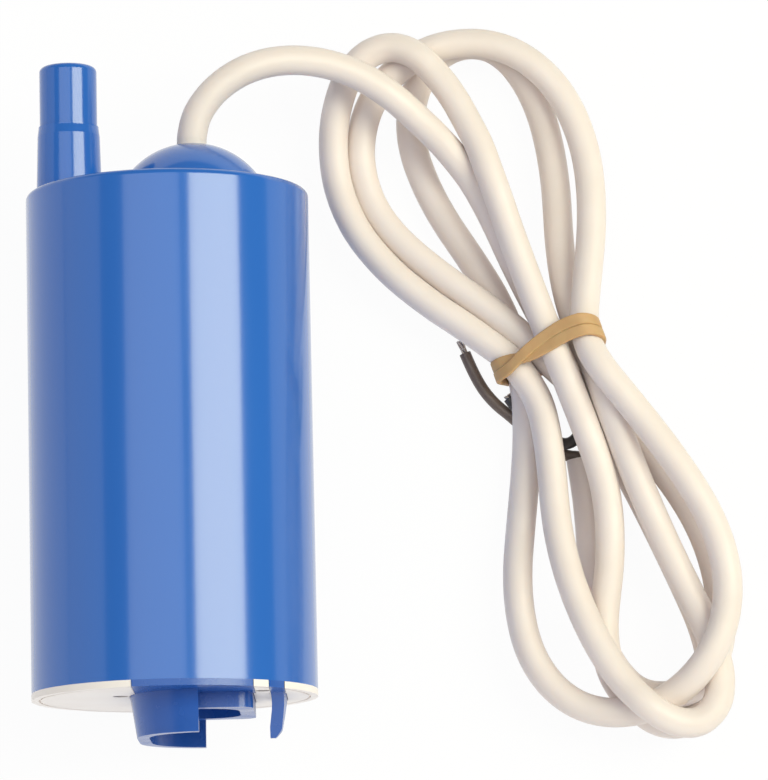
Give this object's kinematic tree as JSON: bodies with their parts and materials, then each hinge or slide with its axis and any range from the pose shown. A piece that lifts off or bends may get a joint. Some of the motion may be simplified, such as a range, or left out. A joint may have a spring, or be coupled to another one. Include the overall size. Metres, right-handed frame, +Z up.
{
  "type": "submersible pump",
  "caption": "Cylindrical submersible centrifugal pump lying on its side, with stepped hose spigot, cable dome, intake guard and a tied hank of two-core cable.",
  "frame": {"origin": "on the surface that the pump lies on, under the middle of its length, cable left out", "axes": "+Y along the pump's axis towards the outlet spigot, +Z up off the surface, +X towards the cable's hank"},
  "size_m": [0.1306, 0.1378, 0.052],
  "materials": {
    "housing_blue": "glossy moulded blue plastic",
    "guard_blue": "moulded blue plastic",
    "plate_white": "white moulded plastic",
    "impeller_white": "white moulded plastic",
    "cable_white": "cream-white PVC sheath",
    "core_brown": "brown PVC insulation",
    "core_black": "black PVC insulation",
    "band_rubber": "tan rubber band",
    "seal_rubber": "black nitrile rubber",
    "copper": "bare copper",
    "bronze": "sintered bronze and spring bronze",
    "can_steel": "zinc-plated drawn steel",
    "spring_steel": "spring steel",
    "shaft_steel": "ground steel",
    "screw_steel": "dulled steel",
    "lamination": "stacked iron laminations",
    "ferrite": "ferrite",
    "cap_black": "black moulded plastic",
    "carbon": "carbon"
  },
  "bodies": {
    "pump": {"housing": "housing_blue", "outlet_spigot": "housing_blue", "base_plate": "plate_white", "intake_guard": "guard_blue", "base_screws": "screw_steel", "pump_chamber": "plate_white", "chamber_seal": "seal_rubber", "riser_seal": "seal_rubber", "lip_seal": "seal_rubber", "motor_can": "can_steel", "field_magnets": "ferrite", "magnet_clips": "spring_steel", "front_bush": "bronze", "rear_bush": "bronze", "motor_screws": "screw_steel", "motor_end_cap": "cap_black", "carbon_brushes": "carbon", "brush_arms": "bronze", "motor_terminals": "bronze", "lead_brown": "core_brown", "lead_black": "core_black", "cable_tail": "cable_white", "cable_seal": "seal_rubber", "cable_lead": "cable_white", "cable_hank": "cable_white", "rubber_band": "band_rubber", "core_brown": "core_brown", "core_black": "core_black", "core_tips": "copper"},
    "rotor": {"shaft": "shaft_steel", "impeller": "impeller_white", "armature_stack": "lamination", "coil_windings": "copper", "commutator": "copper", "thrust_washers": "cap_black"}
  },
  "joints": [
    {"name": "rotor_spin", "type": "hinge", "parent": "pump", "child": "rotor", "pos_m": [0.0058, 0, 0.026], "axis": [0, 1, 0], "continuous": true}
  ]
}
